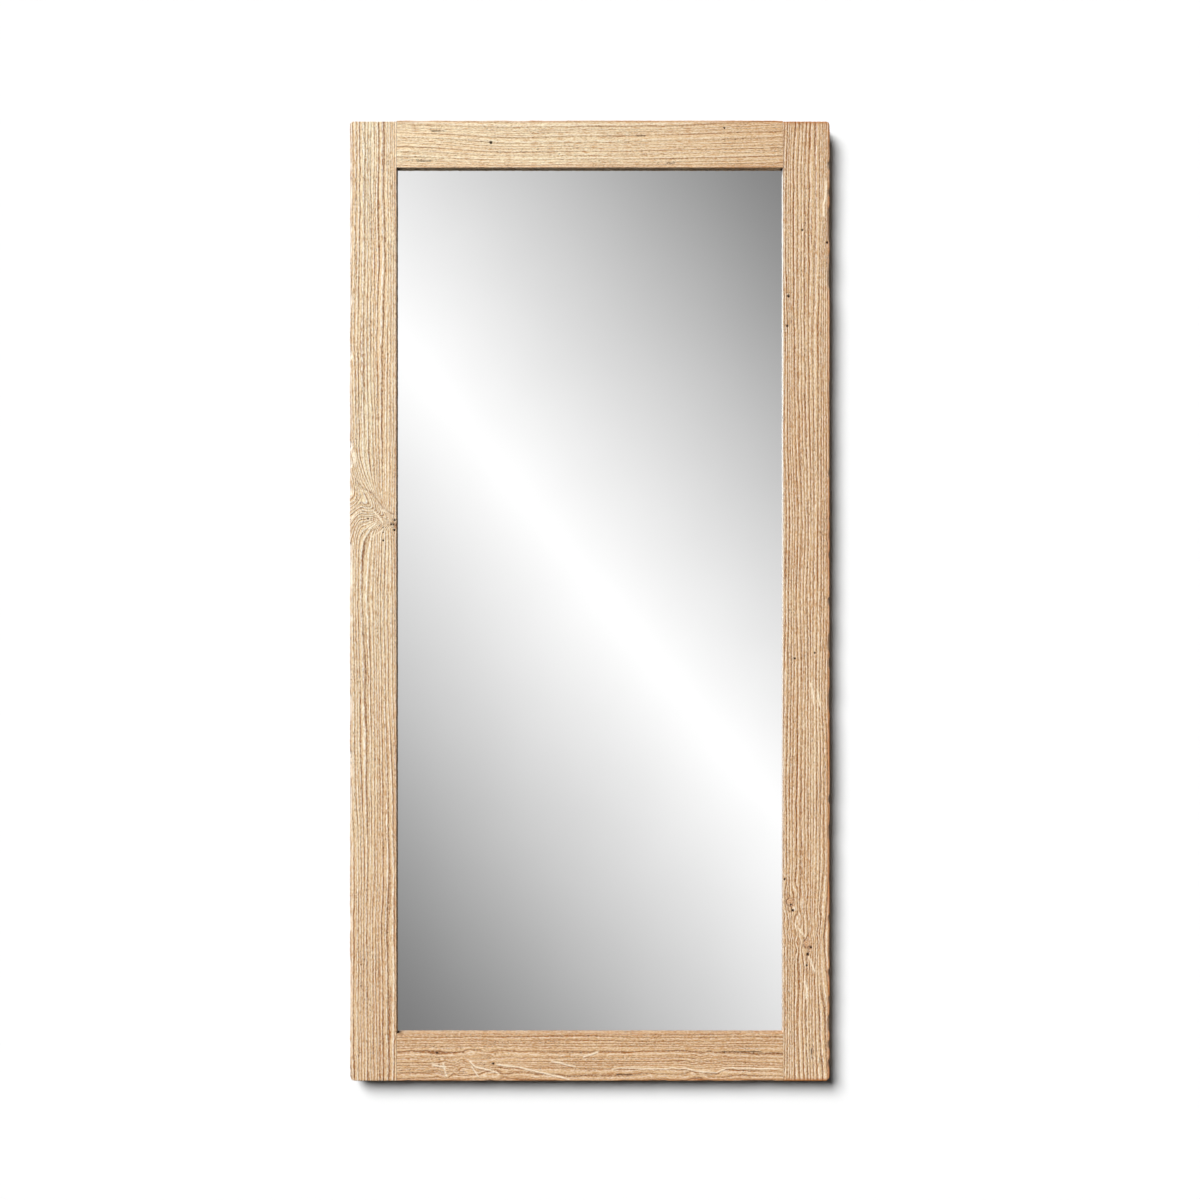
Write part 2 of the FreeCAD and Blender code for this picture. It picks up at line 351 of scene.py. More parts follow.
def stations(board):
    """Places along the board with the section's state and its inset there."""
    places = places_along(board)
    if not board.upright:
        return [(place, 2, 0.0) for place in np.clip(places, board.start, board.end)]
    step_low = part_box("setting_blocks")[0].z
    pocket_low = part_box("backing_board")[0].z - pocket_gap
    stops = [(pocket_low, 0, 1), (step_low, 1, 2), (-step_low, 2, 1), (-pocket_low, 1, 0)]
    rows = []
    for place in places[(places > board.start + arris) & (places < board.end - arris)]:
        passed = [after for stop, _, after in stops if place > stop]
        rows.append((place, passed[-1] if passed else 0, 0.0))
    for place, before, after in stops:
        rows += [(place - same_place, before, 0.0), (place + same_place, after, 0.0)]
    for turn in np.linspace(0, math.pi / 2, arris_points + 1):
        inset, back = arris * (1 - math.sin(turn)), arris * (1 - math.cos(turn))
        rows += [(board.start + back, 0, inset), (board.end - back, 0, inset)]
    return sorted(rows)


# Grain

def vary(seed, cell, along, across, deep):
    """Smooth noise from 0 to 1 with cells of a given length and width."""
    return smooth(seed, along / cell[0], across / cell[1], deep / cell[1])


def grain(board, along, across, deep):
    """Ring coordinate, and the shares of knots and of their rims."""
    seed = board.seed
    at = along, across, deep
    bowed = bow_reach * vary(seed + 1, bow_cell, *at)
    bent = bend_reach * vary(seed + 2, bend_cell, *at)
    shifted = across + bowed + bent
    rings = (shifted + ring_tilt_share * deep) / ring_pitch + drift_rings * vary(seed + 3, drift_cell, *at)
    rings = rings + crowd_rings * smooth(seed + 7, rings * crowd_share)
    waves = waver_rings * vary(seed + 4, waver_cell, *at) + quiver_rings * vary(seed + 6, quiver_cell, *at)
    rings = rings + board.wave_share * waves
    for place, where, radius in board.wilds:
        inside = bell(np.hypot((along - place) / 2, across - where), radius)
        rings = rings + wild_rings * inside * (vary(seed + 5, wild_cell, *at) - 0.5)
    for place, where, reach in board.burrs:
        beside = np.maximum(where - across, same_place)
        rise = along - place - burr_slope * beside
        pull = np.where(rise < 0, reach, reach * burr_above_share)
        rings = rings + pull / ring_pitch * (1 - bell(rise / beside, burr_spread_share))
    knot, rim_crack_and_shadow = np.zeros_like(along), np.zeros_like(along)
    for place, where, radius in board.knots:
        along_share, across_share = (along - place) / radius, (across - where) / radius
        push = np.exp(-(along_share / push_shares[0]) ** 2 - (across_share / push_shares[1]) ** 2)
        rings = rings - push_rings * across_share * push
        ragged = 0.75 + 0.5 * vary(seed + 8, knot_cell, *at)
        distance = np.hypot(along_share / knot_length_share, across_share) * ragged
        core = 1 - step(0.6, 1.3, distance)
        rings = rings * (1 - core) + distance * knot_rings * core
        knot = np.maximum(knot, core)
        broken = step(0.35, 0.6, vary(seed + 9, knot_cell, *at))
        rim_crack_and_shadow = np.maximum(rim_crack_and_shadow, bell(distance - 0.95, 0.16) * broken)
    return rings, knot, rim_crack_and_shadow


def bow(points, width):
    """Strokes of one width from point to point."""
    return [(*start, *end, width) for start, end in zip(points, points[1:])]


def streak(marks, along, across, stray):
    """Share of the strokes between pairs of points of the face."""
    share = np.zeros_like(along)
    for mark in marks:
        start, line, width = mark[:2], mark[2:4] - mark[:2], mark[4]
        part = np.clip(((along - start[0]) * line[0] + (across - start[1]) * line[1]) / (line @ line), 0, 1)
        away = np.hypot(along - start[0] - part * line[0], across - start[1] - part * line[1] + stray)
        share = np.maximum(share, bell(away, width))
    return share


def dots(marks, along, across):
    """Share of the round pits in the face."""
    share = np.zeros_like(along)
    for place, where, radius in marks:
        share = np.maximum(share, 1 - step(0.6, 1.4, np.hypot(along - place, across - where) / radius))
    return share


def relief(board, along, across, deep):
    """Height at or below the flat face, and the shares that colour the wood, at the given points."""
    seed = board.seed
    at = along, across, deep
    rings, knot, rim_crack_and_shadow = grain(board, *at)
    number = np.floor(rings)
    fading = smooth(seed + 11, along / dash_cell[0], across / dash_cell[1], number * ring_jump)
    own_share = 0.60 + 0.40 * lattice([number.astype(np.int64)], seed + 22)
    strength = step(-0.40, 0.55, fading) * board.contrast_share * own_share
    fine = rings * lines_per_ring + 0.5 * vary(seed + 12, fine_cell, *at)
    fine_fading = smooth(seed + 13, along / fine_cell[0], np.floor(fine) * line_jump)
    fine_strength = step(0.10, 0.80, fine_fading) * board.contrast_share
    bead = 0.35 + 0.65 * vary(seed + 10, bead_cell, *at)
    fibre = vary(seed + 14, fibre_cell, *at)
    on_face = deep < arris
    stray = scar_stray * (vary(seed + 18, scar_cell, *at) - 0.5)
    scar = streak(board.scars, along, across, stray) * on_face
    dash = streak(board.dashes, along, across, stray / 4) * on_face
    # Dark hair strokes: cracks, and painted shadows under the pale rims and scars.
    rim_crack_and_shadow = np.maximum(rim_crack_and_shadow, 0.7 * streak(board.hairs, along, across, stray / 4) * on_face)
    pit_and_corner_shadow = np.maximum(dots(board.pits, along, across) * on_face, dash * vary(seed + 17, bead_cell, *at))
    grooves = groove_depth * crest(rings, 0.20) * strength * bead
    lines = line_depth * crest(fine, 0.30) * fine_strength * bead
    height = -(1 - scar) * (grooves + lines + wave_depth * vary(seed + 15, wave_cell, *at))
    height = height - fibre_depth * fibre - pit_depth * pit_and_corner_shadow - groove_depth * rim_crack_and_shadow
    # Painted shade: brown darkening along the outer edges, strongest on the right stile, and along the
    # inner edges of the left stile and top rail, whose lips face away from the lamp.
    outer_edge_shade, inner_edge_shade = board.edge_shade_shares
    open_from, open_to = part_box("bottom_rail")[1].z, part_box("top_rail")[0].z
    open_side = (along > open_from) & (along < open_to) | (not board.upright)
    from_outside = np.minimum(across, board.from_end(along)) if board.upright else across
    edge = np.maximum(outer_edge_shade * bell(from_outside, edge_reach),
                      inner_edge_shade * bell(board.face - across, edge_reach) * open_side)
    edge = edge * bell(deep, edge_reach) * (0.4 + 0.6 * vary(seed + 23, edge_cell, *at))
    on_lip = (across > board.face - sight_arris / 2) & (deep < rebate_sizes(board)[0] + sight_arris)
    on_lip = on_lip * step(sight_arris / 2, 2 * sight_arris, deep)
    along_share = board.ramp(along, (-0.5, 0.5))
    # Painted highlight: the lip of the right stile is made near white, most towards its top, as if the lamp
    # lit it.
    fresh = on_lip * board.fresh_share * (0.25 + 0.75 * step(-0.45, 0.30, along_share))
    # Painted shadow: dark spots on the rails' lips at their ends, in the inner corners of the frame, added
    # to the pits.
    corner_shadow = on_lip * bell(board.from_end(along), corner_shadow_reach) * board.ramp(along, board.corner_shadow_shares)
    pit_and_corner_shadow = np.maximum(pit_and_corner_shadow, corner_shadow)
    tone = 0.25 * lattice([number.astype(np.int64)], seed + 20) + 0.45 * vary(seed + 21, tone_cell, *at)
    return {
        "height": height, "rings": rings, "strength": strength * (1 - scar), "fine": fine,
        "fine_strength": fine_strength * (1 - scar), "tone": tone, "knot": knot, "rim_crack_and_shadow": rim_crack_and_shadow,
        "pit_and_corner_shadow": pit_and_corner_shadow, "dash": dash, "scar": scar, "edge": edge, "fresh": fresh,
    }


def chips(board, along, across, deep):
    """How far the nibbled front edges are broken back: at the outer edge and at the inner one."""
    seed = board.seed
    at = along, across, deep
    broken = step(0.50, 0.95, vary(seed + 31, chip_cell, *at)) + 0.35 * vary(seed + 32, nibble_cell, *at)
    outer = bell(np.hypot(across, deep), chip_reach) * broken * board.chip_share
    inner = bell(np.hypot(board.face - across, deep), chip_reach) * vary(seed + 33, nibble_cell, *at)
    return outer, inner * inner_chip_share


def board_mesh(board):
    """A closed mesh of one board, with its relief, and its colour shares as attributes of the points."""
    rebate = rebate_sizes(board)
    rows = stations(board)
    outlines = {state: section(board, rebate, state) for state in (0, 1, 2)}
    width = len(outlines[2][0])
    along = np.repeat([place for place, _, _ in rows], width)
    outline = np.concatenate([outlines[state][0] for _, state, _ in rows])
    normal = np.concatenate([outlines[state][1] for _, state, _ in rows])
    inset = np.repeat([inset for _, _, inset in rows], width)

    count, ring = len(rows), np.arange(width)
    row_at = np.arange(count - 1)[:, None] * width
    after = (ring + 1) % width
    corners = [row_at + ring, row_at + after, row_at + width + after, row_at + width + ring]
    quads = np.stack(corners, axis=-1)
    faces = quads.reshape(-1, 4).tolist()

    across, deep = outline[:, 0] - inset * normal[:, 0], outline[:, 1] - inset * normal[:, 1]
    ends = []
    for first, place, turn in ((0, board.start, -1), ((count - 1) * width, board.end, 1)):
        border = np.stack([across[first:first + width], deep[first:first + width]], axis=1)
        added, triangles = cap(border, first, len(along) + sum(len(points) for points, _ in ends), turn)
        ends.append((added, place))
        faces += triangles
    for added, place in ends:
        along = np.concatenate([along, np.full(len(added), place)])
        across, deep = np.concatenate([across, added[:, 0]]), np.concatenate([deep, added[:, 1]])
    normal = np.concatenate([normal, np.zeros((len(along) - len(normal), 2))])

    shares = relief(board, along, across, deep)
    push = shares["height"] * calm_share(board, rebate, across, deep)
    outer, inner = chips(board, along, across, deep)
    corner = corner_depth * bell(np.hypot(across, board.from_end(along)), corner_reach) * board.upright
    moved_across = across + normal[:, 0] * push + chip_depth * (outer - inner) + corner
    moved_deep = deep + normal[:, 1] * push + chip_depth * (outer + inner)
    on_cap = np.arange(len(along)) >= count * width
    inward = np.where(along > (board.start + board.end) / 2, -1, 1)
    saw = saw_depth * smooth(board.seed + 41, across / saw_cell[0], deep / saw_cell[1])
    saw = saw * on_cap * board.upright
    points = board.place(along + inward * (saw + corner), moved_across, moved_deep)

    mesh = bpy.data.meshes.new(board.node + "_wood")
    if board.flipped:
        faces = [face[::-1] for face in faces]
    mesh.from_pydata(points, [], faces)
    shares["chip_highlight"] = np.clip(outer + inner, 0, 1)
    shares["cap"] = on_cap.astype(float)
    # Painted shade: boards darker away from the upper-left lamp, the left stile towards its foot and the
    # top rail towards its right end.
    shares["shade"] = board.ramp(along, board.shade_shares)
    shares["ridge_highlight"] = np.full(len(along), board.ridge_highlight_share)
    del shares["height"]
    for name, values in shares.items():
        mesh.attributes.new(name, "FLOAT", "POINT").data.foreach_set("value", values.astype(np.float32))
    grain_at = np.stack([along, across + board.seed, deep], axis=1).astype(np.float32)
    mesh.attributes.new("grain", "FLOAT_VECTOR", "POINT").data.foreach_set("vector", grain_at.ravel())
    mesh.polygons.foreach_set("use_smooth", np.ones(len(mesh.polygons), bool))
    mark_sharp(mesh, width, count, outlines[2][2])
    return mesh


def cap(border, first, offset, turn):
    """Extra points and triangles that close one end, with a fine grid inside the border."""
    low, high = border.min(0), border.max(0)
    inside = [(place, level) for place in run(low[0] + cap_step, high[0] - cap_step, cap_step)
              for level in run(low[1] + cap_step, high[1] - cap_step, cap_step)]
    edges = [(i, (i + 1) % len(border)) for i in range(len(border))]
    flat = [Vector(point) for point in [*border, *inside]]
    made, _, triangles, origins, _, _ = delaunay_2d_cdt(flat, edges, [], 1, same_place)
    names, added = {}, []
    for i, origin in enumerate(origins):
        on_border = [index for index in origin if index < len(border)]
        if on_border:
            names[i] = first + on_border[0]
        else:
            names[i] = offset + len(added)
            added.append(tuple(made[i]))
    turned = [[names[i] for i in triangle[::turn]] for triangle in triangles]
    return np.array(added).reshape(-1, 2), turned


def calm_share(board, rebate, across, deep):
    """How much of the relief shows: all of it in front, little on the sawn back, none at the joints."""
    fade_from, fade_to = [share * board.depth for share in back_fade_shares]
    front = 1 - step(fade_from, fade_to, deep)
    inner = step(board.face - 2 * arris, board.face - sight_arris, across)
    outer = 1 - step(0, 2 * arris, across)
    joint_face = (across > board.face - arris / 2) & (deep > rebate[0] + arris)
    share = back_relief_share + (1 - back_relief_share) * front
    share = share * (1 - (1 - inner_relief_share) * inner) * (1 - (1 - outer_relief_share) * outer)
    return np.where(joint_face, 0, share)


def mark_sharp(mesh, width, count, columns):
    """Marks the rebate's corners and the rims of the ends as sharp."""
    ends = np.zeros(len(mesh.edges) * 2, np.int32)
    mesh.edges.foreach_get("vertices", ends)
    ends = ends.reshape(-1, 2)
    on_side = (ends < count * width).all(axis=1)
    column, row = ends % width, ends // width
    along_corner = on_side & (column[:, 0] == column[:, 1]) & np.isin(column[:, 0], columns)
    rim_crack_shadow = on_side & (row[:, 0] == row[:, 1]) & np.isin(row[:, 0], (0, count - 1))
    attribute = mesh.attributes.new("sharp_edge", "BOOLEAN", "EDGE")
    attribute.data.foreach_set("value", along_corner | rim_crack_shadow)


def left_stile():
    rim_shares = [(0.0855, 0.030), (0.0917, 0.158), (0.0951, 0.296), (0.0959, 0.392), (0.0939, 0.505),
                  (0.0899, 0.585), (0.0859, 0.651), (0.0819, 0.709)]
    shadow_shares = [(0.0897, 0.051), (0.0946, 0.168), (0.0975, 0.296), (0.0982, 0.413), (0.0956, 0.541),
                     (0.0909, 0.637), (0.0865, 0.700)]
    crack_shares = [(0.1249, 0.147), (0.1169, 0.294), (0.1122, 0.488), (0.1027, 0.620), (0.0939, 0.781),
                    (0.0891, 0.960)]
    return Board(
        "left_stile", 100, shade_shares=(0.60, -0.50), contrast_share=0.96,
        chip_share=1.4, edge_shade_shares=(0.3, 0.8),
        knot_shares=[(0.0785, 0.985, 0.045)],
        pit_shares=[(0.0839, 0.962, 0.024), (0.0796, 0.888, 0.019), (0.0796, 0.935, 0.019),
                    (0.0786, 0.994, 0.022), (0.0735, 0.954, 0.024), (0.0626, 0.715, 0.019),
                    (0.0854, 0.392, 0.016), (0.0762, 0.715, 0.015), (0.0711, 0.715, 0.014),
                    (0.0779, 0.637, 0.013)],
        scar_shares=bow(rim_shares, 0.012) + [
            (0.1530, 0.080, 0.1450, 0.110, 0.034), (0.0850, 0.051, 0.0881, 0.104, 0.018),
            (0.0748, 0.407, 0.0804, 0.554, 0.016), (0.0668, 0.473, 0.0732, 0.683, 0.016),
            (0.0938, 0.690, 0.0923, 0.796, 0.012)],
        hair_shares=bow(shadow_shares, 0.010) + bow(crack_shares, 0.011) + [
            (0.0805, 0.975, 0.0762, 0.995, 0.016)],
        burr_shares=[(0.0785, 1.0, 0.73)],
    )


def right_stile():
    return Board(
        "right_stile", 200, shade_shares=(0.62, 0.56), contrast_share=1.06,
        chip_share=0.9, edge_shade_shares=(2.2, 0.0), fresh_share=1.0,
        knot_shares=[(-0.3137, 0.851, 0.072), (-0.3574, 0.490, 0.068)],
        pit_shares=[(-0.3231, 0.788, 0.027), (-0.3168, 0.831, 0.019), (-0.3688, 0.468, 0.030),
                    (-0.3616, 0.405, 0.023), (-0.3803, 0.490, 0.020), (0.3863, 0.585, 0.022),
                    (0.3733, 0.053, 0.027), (0.3174, 0.879, 0.027), (0.2862, 0.905, 0.024),
                    (-0.0604, 0.745, 0.022), (-0.0545, 0.320, 0.019), (-0.2904, 0.964, 0.022)],
        scar_shares=[(-0.3376, 0.724, -0.3491, 0.553, 0.016), (-0.3709, 0.468, -0.3866, 0.319, 0.016),
                     (-0.0868, 0.405, -0.1066, 0.341, 0.020), (-0.0932, 0.277, -0.1088, 0.213, 0.016),
                     (0.4368, 0.077, 0.4004, 0.140, 0.020), (-0.3959, 0.532, -0.4167, 0.479, 0.020)],
        dash_shares=[(-0.4660, 0.389, -0.4764, 0.380, 0.012), (-0.4770, 0.219, -0.4810, 0.225, 0.012)],
        wild_shares=[(-0.335, 0.66, 0.40)],
    )


def top_rail():
    return Board(
        "top_rail", 300, shade_shares=(-0.5, 0.65), contrast_share=0.60,
        chip_share=0.25, edge_shade_shares=(1.5, 0.8), wave_share=0.4, ridge_highlight_share=0.4, corner_shadow_shares=(1.0, 1.0),
        pit_shares=[(-0.2557, 0.469, 0.030), (0.3486, 0.160, 0.019)],
        dash_shares=[(-0.4084, 0.222, -0.3721, 0.222, 0.012), (-0.4472, 0.860, -0.4135, 0.860, 0.012),
                     (0.1221, 0.325, 0.1428, 0.325, 0.012), (0.1997, 0.902, 0.2192, 0.902, 0.010)],
    )


def bottom_rail():
    long_tear_shares = [(-0.2394, 0.345), (-0.1895, 0.300), (-0.1428, 0.220), (-0.1077, 0.150),
                        (-0.0551, 0.050)]
    short_tear_shares = [(-0.3101, 0.410), (-0.2980, 0.310), (-0.2700, 0.240), (-0.2402, 0.180)]
    ledge_shares = [(0.0600, 0.262), (0.2464, 0.264), (0.2748, 0.211), (0.3266, 0.170), (0.3511, 0.264),
                    (0.4910, 0.256)]
    scar_shares = bow(long_tear_shares, 0.017) + bow(short_tear_shares, 0.016) + bow(ledge_shares, 0.012)
    scar_shares += [
        (-0.4058, 0.337, -0.3747, 0.294, 0.021), (-0.0978, 0.421, -0.0383, 0.316, 0.018),
        (-0.0151, 0.506, 0.0186, 0.610, 0.019), (-0.3798, 0.379, -0.3721, 0.105, 0.017),
        (-0.3049, 0.295, -0.2894, 0.105, 0.017)]
    shadow_drop_share = 0.035
    return Board(
        "bottom_rail", 400, shade_shares=(0.92, 0.92), contrast_share=0.84,
        chip_share=0.25, edge_shade_shares=(1.4, 0.0), ridge_highlight_share=0.7, corner_shadow_shares=(1.0, 0.0),
        knot_shares=[(0.3291, 0.190, 0.050)],
        pit_shares=[(-0.2497, 0.358, 0.024), (-0.3954, 0.585, 0.020)],
        scar_shares=scar_shares,
        # Painted shadows: a thinner dark stroke just below each pale scar.
        hair_shares=[(start, across - shadow_drop_share, end, end_across - shadow_drop_share, width / 2)
                     for start, across, end, end_across, width in scar_shares],
        dash_shares=[(0.3369, 0.610, 0.4456, 0.610, 0.010), (0.0704, 0.126, 0.1091, 0.126, 0.012)],
        wild_shares=[(-0.30, 0.22, 0.45), (0.30, 0.22, 0.30)],
    )


# Materials

class Shader:
    """A material whose nodes are added one by one, called s in the functions below."""

    def __init__(self, name):
        self.material = bpy.data.materials.new(name)
        self.material.use_nodes = True
        self.nodes, self.links = self.material.node_tree.nodes, self.material.node_tree.links
        self.surface = self.nodes["Principled BSDF"]

    @classmethod
    def of_tree(cls, tree):
        made = cls.__new__(cls)
        made.nodes, made.links = tree.nodes, tree.links
        return made

    def add(self, kind, inputs=None, **settings):
        made = self.nodes.new(kind)
        for name, value in settings.items():
            setattr(made, name, value)
        for name, value in (inputs or {}).items():
            self.put(made, name, value)
        return made

    def put(self, made, name, value):
        if isinstance(value, bpy.types.NodeSocket):
            self.links.new(value, made.inputs[name])
        else:
            made.inputs[name].default_value = value

    def set(self, **values):
        for name, value in values.items():
            self.put(self.surface, name.replace("_", " "), value)

    def share(self, name):
        return self.add("ShaderNodeAttribute", attribute_name=name).outputs["Fac"]

    def mix(self, factor, first, second, blend="MIX"):
        made = self.add("ShaderNodeMix", data_type="RGBA", blend_type=blend)
        self.put(made, 0, factor)
        self.put(made, 6, first)
        self.put(made, 7, second)
        return made.outputs[2]

    def sum(self, operation, first, second):
        made = self.add("ShaderNodeMath", operation=operation)
        self.put(made, 0, first)
        self.put(made, 1, second)
        return made.outputs[0]

    def times(self, first, *others):
        for other in others:
            first = self.sum("MULTIPLY", first, other)
        return first

    def range(self, value, low, high, to_low=0.0, to_high=1.0, kind="LINEAR"):
        inputs = {"Value": value, "From Min": low, "From Max": high, "To Min": to_low, "To Max": to_high}
        return self.add("ShaderNodeMapRange", inputs, interpolation_type=kind).outputs["Result"]

    def crest(self, coordinate, share):
        """1 half-way between whole numbers, falling to 0 over this share of the pitch on each side."""
        return self.range(self.sum("PINGPONG", coordinate, 0.5), 0.5 - share, 0.5, kind="SMOOTHSTEP")

    def noise(self, vector, size, detail=3.0):
        """Noise with grains of one size, or of one length along the grain and one width across it."""
        if isinstance(size, tuple):
            stretch = (1 / size[0], 1 / size[1], 1 / size[1])
            vector = self.add("ShaderNodeMapping", {"Vector": vector, "Scale": stretch}).outputs["Vector"]
            size = 1.0
        inputs = {"Vector": vector, "Scale": 1 / size, "Detail": detail}
        return self.add("ShaderNodeTexNoise", inputs).outputs["Fac"]

    def cells(self, vector, size, output="Distance"):
        return self.add("ShaderNodeTexVoronoi", {"Vector": vector, "Scale": 1 / size}).outputs[output]

    def bump(self, height, strength, distance):
        inputs = {"Height": height, "Strength": strength, "Distance": distance}
        self.set(Normal=self.add("ShaderNodeBump", inputs).outputs["Normal"])

    def place(self):
        return self.add("ShaderNodeTexCoord").outputs["Object"]

    def surface_is(self, shader):
        self.nodes.remove(self.surface)
        self.links.new(shader, self.nodes["Material Output"].inputs["Surface"])
        return self.material


def softwood():
    """Brushed softwood: brown grooves with a painted highlight beside them, dark pits, reddish knots and
    fine fibres; painted shade on the far boards and along the edges, painted highlights on the broken edges
    and the right lip, and painted shadows in the rails' inner corners and under the pale scars.
    """
    fibre_grain = (0.016, 0.0013)
    fleck_grain = (0.0045, 0.0022)
    glint_grain = (0.012, 0.0020)
    bead_grain = (0.0060, 0.0030)
    spot_grain = (0.0050, 0.0019)
    cluster_grain = (0.080, 0.016)
    patch_grain = (0.14, 0.025)
    fibre_height = 0.0006
    s = Shader("softwood")
    at = s.add("ShaderNodeAttribute", attribute_name="grain").outputs["Vector"]
    rings, fine = s.share("rings"), s.share("fine")
    fibre = s.noise(at, fibre_grain, 4.0)
    fleck = s.noise(at, fleck_grain, 2.0)
    glint = s.noise(at, glint_grain, 2.0)
    bead = s.noise(at, bead_grain, 2.0)
    groove = s.times(s.crest(rings, 0.25), s.share("strength"), s.range(bead, 0.40, 0.54, 0.42))
    line = s.times(s.crest(fine, 0.30), s.share("fine_strength"), s.range(bead, 0.60, 0.46, 0.36))
    # Painted highlight: a pale line along one side of each groove, as on a slope lit from the upper left.
    ridge_highlight = s.times(s.crest(s.sum("ADD", rings, 0.34), 0.19), s.range(glint, 0.40, 0.54))
    spots = s.range(s.noise(at, spot_grain, 1.0), 0.57, 0.65)
    cluster = s.range(s.noise(at, cluster_grain, 2.0), 0.40, 0.60)
    speck = s.times(spots, cluster, s.range(s.sum("MAXIMUM", groove, line), 0.0, 0.5, 0.35))
    dash = s.times(s.share("dash"), s.range(fleck, 0.42, 0.56))
    rim_crack_shadow = s.times(s.share("rim_crack_and_shadow"), s.range(fleck, 0.36, 0.54, 0.45))
    tone = s.sum("ADD", s.share("tone"), s.range(s.noise(at, patch_grain, 2.0), 0.3, 0.7, -0.12, 0.12))
    pale = s.mix(s.range(tone, 0.0, 0.8), srgb(253, 227, 186), srgb(255, 249, 215))
    deep = s.mix(s.range(tone, 0.0, 0.8), srgb(206, 169, 127), srgb(225, 192, 151))
    # Painted shade: the boards away from the lamp are mixed towards the deeper colours, and their painted
    # highlights are dimmed.
    dark = s.share("shade")
    colour = s.mix(s.range(dark, -0.5, 1.0), pale, deep)
    colour = s.mix(s.range(fibre, 0.46, 0.64, 0.0, 0.68), colour, srgb(186, 124, 54))
    colour = s.mix(s.times(line, 0.95), colour, srgb(156, 90, 30))
    ridge_highlight = s.times(ridge_highlight, s.share("ridge_highlight"), s.range(dark, 0.0, 1.0, 0.95, 0.45))
    colour = s.mix(ridge_highlight, colour, srgb(255, 251, 241))
    colour = s.mix(groove, colour, srgb(112, 56, 12))
    colour = s.mix(s.range(fleck, 0.52, 0.66, 0.0, 0.30), colour, srgb(160, 96, 36))
    colour = s.mix(s.range(fleck, 0.48, 0.36, 0.0, 0.22), colour, srgb(255, 248, 232))
    colour = s.mix(s.times(s.share("knot"), 0.30), colour, srgb(206, 140, 88))
    # Knot rims, cracks and painted shadows under the pale rims and scars.
    colour = s.mix(s.times(rim_crack_shadow, 0.90), colour, srgb(110, 58, 26))
    # Painted shade along the edges.
    colour = s.mix(s.times(s.share("edge"), 0.60), colour, srgb(180, 114, 60))
    scar = s.times(s.share("scar"), s.range(glint, 0.36, 0.52, 0.40), s.range(dark, 0.0, 1.0, 1.0, 0.75))
    colour = s.mix(scar, colour, srgb(255, 242, 218))
    # Painted highlight: the broken front edges are made pale on the boards nearest the lamp, fading out on
    # those painted darker.
    chip_highlight = s.times(s.share("chip_highlight"), s.range(dark, 0.0, 0.8, 0.75, 0.0))
    colour = s.mix(chip_highlight, colour, srgb(255, 247, 232))
    colour = s.mix(s.times(speck, 0.85), colour, srgb(78, 44, 16))
    # Painted highlight on the lit lip of the right stile.
    colour = s.mix(s.share("fresh"), colour, srgb(255, 252, 244))
    # Pits, dark dashes and the painted corner shadows.
    colour = s.mix(s.sum("MAXIMUM", s.share("pit_and_corner_shadow"), dash), colour, srgb(46, 30, 22))
    colour = s.mix(s.times(s.share("cap"), 0.25), colour, srgb(168, 128, 86))
    s.set(Base_Color=colour, Roughness=s.range(fibre, 0.3, 0.7, 0.72, 0.92))
    s.surface.inputs["Specular IOR Level"].default_value = 0.12
    cut = s.sum("ADD", groove, s.times(line, 0.6))
    s.bump(s.sum("SUBTRACT", s.times(fibre, 0.5), cut), 0.4, fibre_height)
    return s.material


def silvered_front():
    """The silvered face: a mirror with the faint unevenness of wiped glass."""
    film_size = 0.33
    s = Shader("silvered_front")
    film = s.noise(s.place(), film_size, 4.0)
    s.set(Base_Color=s.mix(s.range(film, 0.3, 0.7), srgb(245, 245, 245), srgb(249, 249, 249)))
    s.set(Metallic=1.0, Roughness=s.range(film, 0.3, 0.7, 0.006, 0.014))
    return s.material


def glass_edge():
    """The ground edge of the pane."""
    grind_size = 0.0011
    grind_height = 0.0002
    s = Shader("glass_edge")
    grind = s.noise(s.place(), grind_size)
    s.set(Base_Color=s.mix(grind, srgb(92, 128, 112), srgb(150, 182, 168)))
    s.set(Roughness=s.range(grind, 0.3, 0.7, 0.25, 0.5))
    s.bump(grind, 0.3, grind_height)
    return s.material


def back_paint():
    """Grey paint over the silvering."""
    stipple_size = 0.0038
    stipple_height = 0.0002
    s = Shader("back_paint")
    stipple = s.noise(s.place(), stipple_size, 4.0)
    s.set(Base_Color=s.mix(stipple, srgb(96, 104, 106), srgb(118, 126, 128)), Roughness=0.55)
    s.bump(stipple, 0.2, stipple_height)
    return s.material


def hardboard():
    """Pressed fibre board: brown, with pale and dark fibres pressed flat in every direction."""
    fine_size = 0.0024
    cloud_size = 0.11
    fibre_size = 0.0038
    fine_height = 0.0003
    s = Shader("hardboard")
    at = s.place()
    fine = s.noise(at, fine_size, 6.0)
    cloud = s.noise(at, cloud_size, 4.0)
    fibres = s.cells(at, fibre_size)
    colour = s.mix(s.range(cloud, 0.3, 0.7), srgb(158, 120, 84), srgb(168, 130, 92))
    colour = s.mix(s.range(fine, 0.35, 0.65, 0.0, 0.6), colour, srgb(128, 94, 62))
    colour = s.mix(s.range(fibres, 0.0, 0.25, 0.35, 0.0), colour, srgb(182, 148, 108))
    s.set(Base_Color=colour, Roughness=s.range(fine, 0.3, 0.7, 0.62, 0.85))
    s.bump(fine, 0.25, fine_height)
    return s.material


